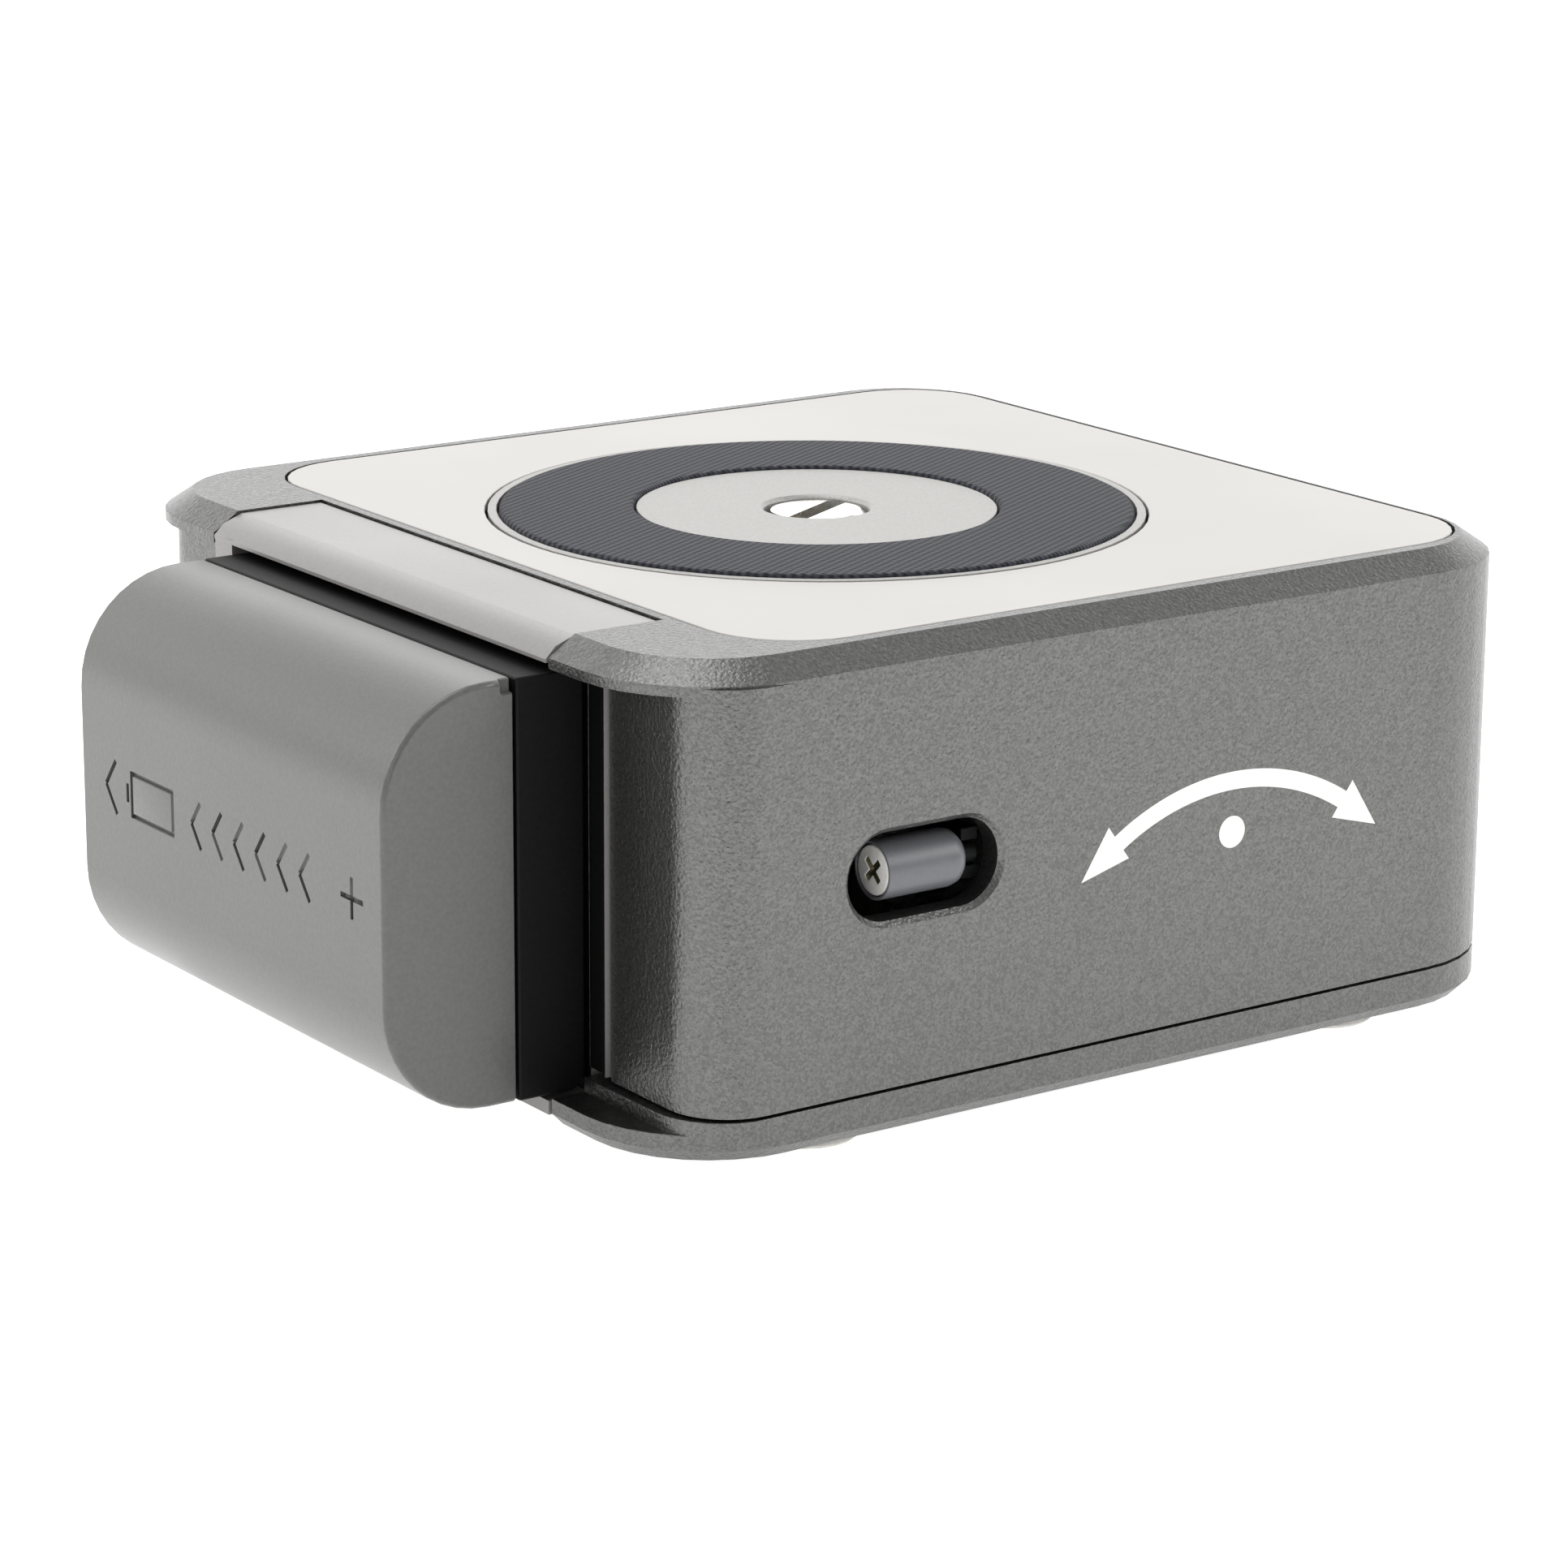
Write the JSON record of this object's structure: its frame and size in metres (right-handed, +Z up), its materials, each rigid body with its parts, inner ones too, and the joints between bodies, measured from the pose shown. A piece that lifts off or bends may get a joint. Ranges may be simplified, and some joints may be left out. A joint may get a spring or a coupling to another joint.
{
  "type": "motorised pan head with removable battery pack",
  "caption": "Square motorised camera pan head: painted housing, round turntable with threaded stud and grip ring, and a battery pack in a side bay.",
  "frame": {"origin": "centre of the bounding box in plan, on the surface the rubber feet stand on", "axes": "+X from the battery bay towards the plain side, +Y from the slotted front wall to the rear wall, +Z up along the pan axis"},
  "size_m": [0.1158, 0.0966, 0.0457],
  "materials": {
    "dark_paint": "satin powder coat with a fine pebble grain",
    "panel_white": "satin",
    "light_metal": "fine bead-blasted",
    "textile": "fine diagonal weave",
    "grey_plastic": "matte",
    "black_plastic": "matte",
    "bright_steel": "bright",
    "brass": "machined",
    "pale_rubber": "matte",
    "circuit_board": "solder mask",
    "cell_sleeve": "shrink sleeve",
    "lens": "clear"
  },
  "bodies": {
    "housing": {"main_housing": "dark_paint", "bottom_cover": "dark_paint", "top_panel": "panel_white", "bearing_carrier": "light_metal", "gearbox_plate": "light_metal", "battery_bay_insert": "grey_plastic", "button_switch": "black_plastic", "roller_bracket": "black_plastic", "link_jack_1": "black_plastic", "link_jack_2": "black_plastic", "base_bush": "bright_steel", "bearing_outer_race": "bright_steel", "idler_axle": "bright_steel", "pan_motor": "bright_steel", "radio_module": "bright_steel", "tether_pin": "bright_steel", "cover_screw_1": "bright_steel", "cover_screw_2": "bright_steel", "cover_screw_3": "bright_steel", "cover_screw_4": "bright_steel", "carrier_screw_1": "bright_steel", "carrier_screw_2": "bright_steel", "carrier_screw_3": "bright_steel", "carrier_screw_4": "bright_steel", "plate_screw_1": "bright_steel", "plate_screw_2": "bright_steel", "plate_screw_3": "bright_steel", "contact_blade_1": "brass", "contact_blade_2": "brass", "contact_blade_3": "brass", "base_pad": "pale_rubber", "rubber_foot_1": "pale_rubber", "rubber_foot_2": "pale_rubber", "rubber_foot_3": "pale_rubber", "rubber_foot_4": "pale_rubber", "main_board": "circuit_board", "status_lens": "lens"},
    "turntable": {"turntable_disc": "light_metal", "grip_ring": "textile", "turntable_hub": "light_metal", "output_gear": "brass", "bearing_inner_race": "bright_steel", "turntable_screw_1": "bright_steel", "turntable_screw_2": "bright_steel", "turntable_screw_3": "bright_steel", "turntable_screw_4": "bright_steel"},
    "bearing_cage": {"bearing_ball_cage": "brass"},
    "stud_driver": {"stud_friction_ring": "brass"},
    "stud": {"camera_stud": "bright_steel"},
    "idler": {"idler_gear": "brass"},
    "pinion": {"motor_pinion": "brass"},
    "battery": {"battery_case_outer": "grey_plastic", "battery_case_inner": "black_plastic", "battery_cell_1": "cell_sleeve", "battery_cell_2": "cell_sleeve", "protection_board": "circuit_board"},
    "catch": {"battery_catch": "black_plastic"},
    "button": {"power_button": "black_plastic"},
    "roller": {"tether_roller": "grey_plastic"}
  },
  "joints": [
    {"name": "pan", "type": "hinge", "parent": "housing", "child": "turntable", "pos_m": [0.0084, 0, 0.042], "axis": [0, 0, 1], "continuous": true},
    {"name": "bearing_roll", "type": "hinge", "parent": "housing", "child": "bearing_cage", "pos_m": [0.0084, 0, 0.0353], "axis": [0, 0, 1], "continuous": true},
    {"name": "idler_turn", "type": "hinge", "parent": "housing", "child": "idler", "pos_m": [0.03546, -0.00985, 0.026], "axis": [0, 0, 1], "continuous": true},
    {"name": "motor_turn", "type": "hinge", "parent": "housing", "child": "pinion", "pos_m": [0.03389, -0.02778, 0.021], "axis": [0, 0, 1], "continuous": true},
    {"name": "stud_turn", "type": "hinge", "parent": "turntable", "child": "stud_driver", "pos_m": [0.0084, 0, 0.0265], "axis": [0, 0, 1], "range_deg": [0, 1500]},
    {"name": "stud_rise", "type": "slide", "parent": "stud_driver", "child": "stud", "axis": [0, 0, 1], "range_m": [0, 0.00635]},
    {"name": "battery_slide", "type": "slide", "parent": "housing", "child": "battery", "axis": [0, -1, 0], "range_m": [0, 0.058]},
    {"name": "catch_press", "type": "slide", "parent": "housing", "child": "catch", "axis": [1, 0, 0], "range_m": [0, 0.0009], "stiffness_N_per_m": 300, "springref_m": -0.001},
    {"name": "button_press", "type": "slide", "parent": "housing", "child": "button", "axis": [0, -1, 0], "range_m": [0, 0.0008], "stiffness_N_per_m": 500, "springref_m": -0.001},
    {"name": "roller_turn", "type": "hinge", "parent": "housing", "child": "roller", "pos_m": [-0.0136, -0.04565, 0.0246], "axis": [1, 0, 0], "continuous": true}
  ],
  "couplings": [
    {"joint": "bearing_roll", "follows": "pan", "ratio": 0.5},
    {"joint": "idler_turn", "follows": "pan", "ratio": -5},
    {"joint": "motor_turn", "follows": "pan", "ratio": 20},
    {"joint": "stud_turn", "follows": "stud_rise", "rad_per_m": 3957.9}
  ]
}
